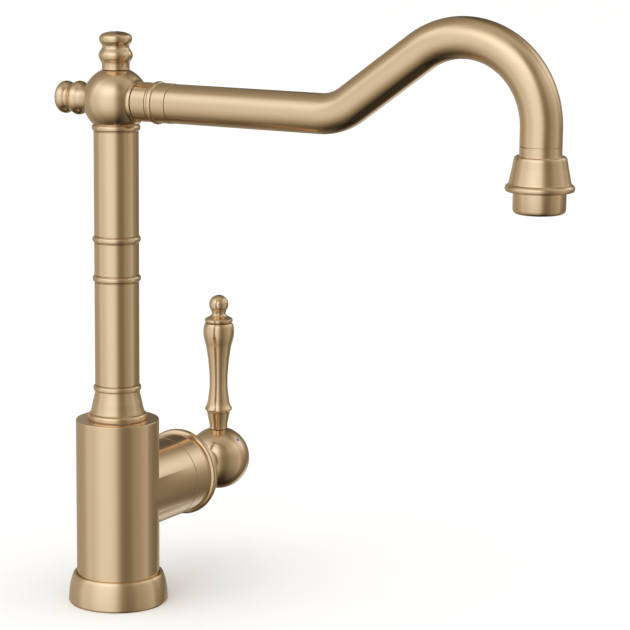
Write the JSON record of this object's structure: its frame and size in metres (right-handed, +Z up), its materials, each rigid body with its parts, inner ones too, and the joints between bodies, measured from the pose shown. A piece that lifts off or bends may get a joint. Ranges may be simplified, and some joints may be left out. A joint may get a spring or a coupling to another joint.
{
  "type": "kitchen mixer faucet",
  "caption": "Kitchen mixer faucet with a swan-neck swivel spout, ball head with finials and a side lever handle on a ball.",
  "frame": {"origin": "centre of the foot, on the worktop's surface", "axes": "+Z up along the column, -Y along the spout at rest, +X along the handle's axis"},
  "size_m": [0.1622, 0.3338, 0.4276],
  "materials": {
    "satin_gold": "satin gold coating with a fine brushed grain",
    "raw_brass": "raw machined brass",
    "zinc_steel": "zinc plated steel",
    "black_rubber": "smooth black rubber",
    "white_plastic": "moulded acetal",
    "alumina": "lapped alumina",
    "blue_enamel": "gloss blue",
    "red_enamel": "gloss red"
  },
  "bodies": {
    "base": {"base_flange": "satin_gold", "base_gasket": "black_rubber", "body_shell": "satin_gold", "waterway_core": "raw_brass", "cartridge_seat": "raw_brass", "hot_inlet_bush": "raw_brass", "cold_inlet_bush": "raw_brass", "glide_ring": "white_plastic", "swivel_grub_screw": "zinc_steel", "fixing_stud": "zinc_steel", "horseshoe_gasket": "black_rubber", "horseshoe_washer": "zinc_steel", "fixing_nut": "raw_brass", "port_gasket": "black_rubber", "cartridge_housing": "white_plastic", "fixed_disc": "alumina", "retaining_nut": "raw_brass", "housing_bonnet": "satin_gold", "housing_rim": "satin_gold", "dome_cover": "satin_gold"},
    "spout": {"column_collar": "satin_gold", "lower_o_ring": "black_rubber", "upper_o_ring": "black_rubber", "lower_column_tube": "satin_gold", "middle_column_tube": "satin_gold", "upper_column_tube": "satin_gold", "lower_column_ring": "satin_gold", "upper_column_ring": "satin_gold", "neck_ring": "satin_gold", "water_riser": "white_plastic", "head_ball": "satin_gold", "top_finial": "satin_gold", "rear_finial": "satin_gold", "spout_sleeve": "satin_gold", "spout_ferrule": "satin_gold", "spout_nipple": "raw_brass", "spout_tube": "satin_gold", "outlet_bell": "satin_gold", "aerator_housing": "satin_gold", "aerator_insert": "white_plastic", "aerator_screen": "zinc_steel", "aerator_gasket": "black_rubber"},
    "turning_cartridge": {"stem_carrier": "white_plastic", "pivot_pin": "zinc_steel"},
    "sliding_disc": {"moving_disc": "alumina", "slide_block": "white_plastic"},
    "handle": {"cartridge_stem": "raw_brass", "handle_bell": "satin_gold", "handle_ball": "satin_gold", "handle_set_screw": "zinc_steel", "set_screw_plug": "white_plastic", "cold_dot": "blue_enamel", "hot_dot": "red_enamel", "lever": "satin_gold", "lever_cap": "satin_gold", "lever_rod": "zinc_steel"}
  },
  "joints": [
    {"name": "spout_swivel", "type": "hinge", "parent": "base", "child": "spout", "pos_m": [0, 0, 0.113], "axis": [0, 0, 1], "continuous": true},
    {"name": "handle_turn", "type": "hinge", "parent": "base", "child": "turning_cartridge", "pos_m": [0.0651, 0, 0.0657], "axis": [1, 0, 0], "range_deg": [-45, 45]},
    {"name": "handle_lift", "type": "hinge", "parent": "turning_cartridge", "child": "handle", "pos_m": [0.0651, 0, 0.0657], "axis": [0, 1, 0], "range_deg": [0, 20]},
    {"name": "disc_slide", "type": "slide", "parent": "turning_cartridge", "child": "sliding_disc", "axis": [0, 0, 1], "range_m": [0, 0.0064]}
  ],
  "couplings": [
    {"joint": "disc_slide", "follows": "handle_lift", "m_per_rad": 0.0182}
  ]
}
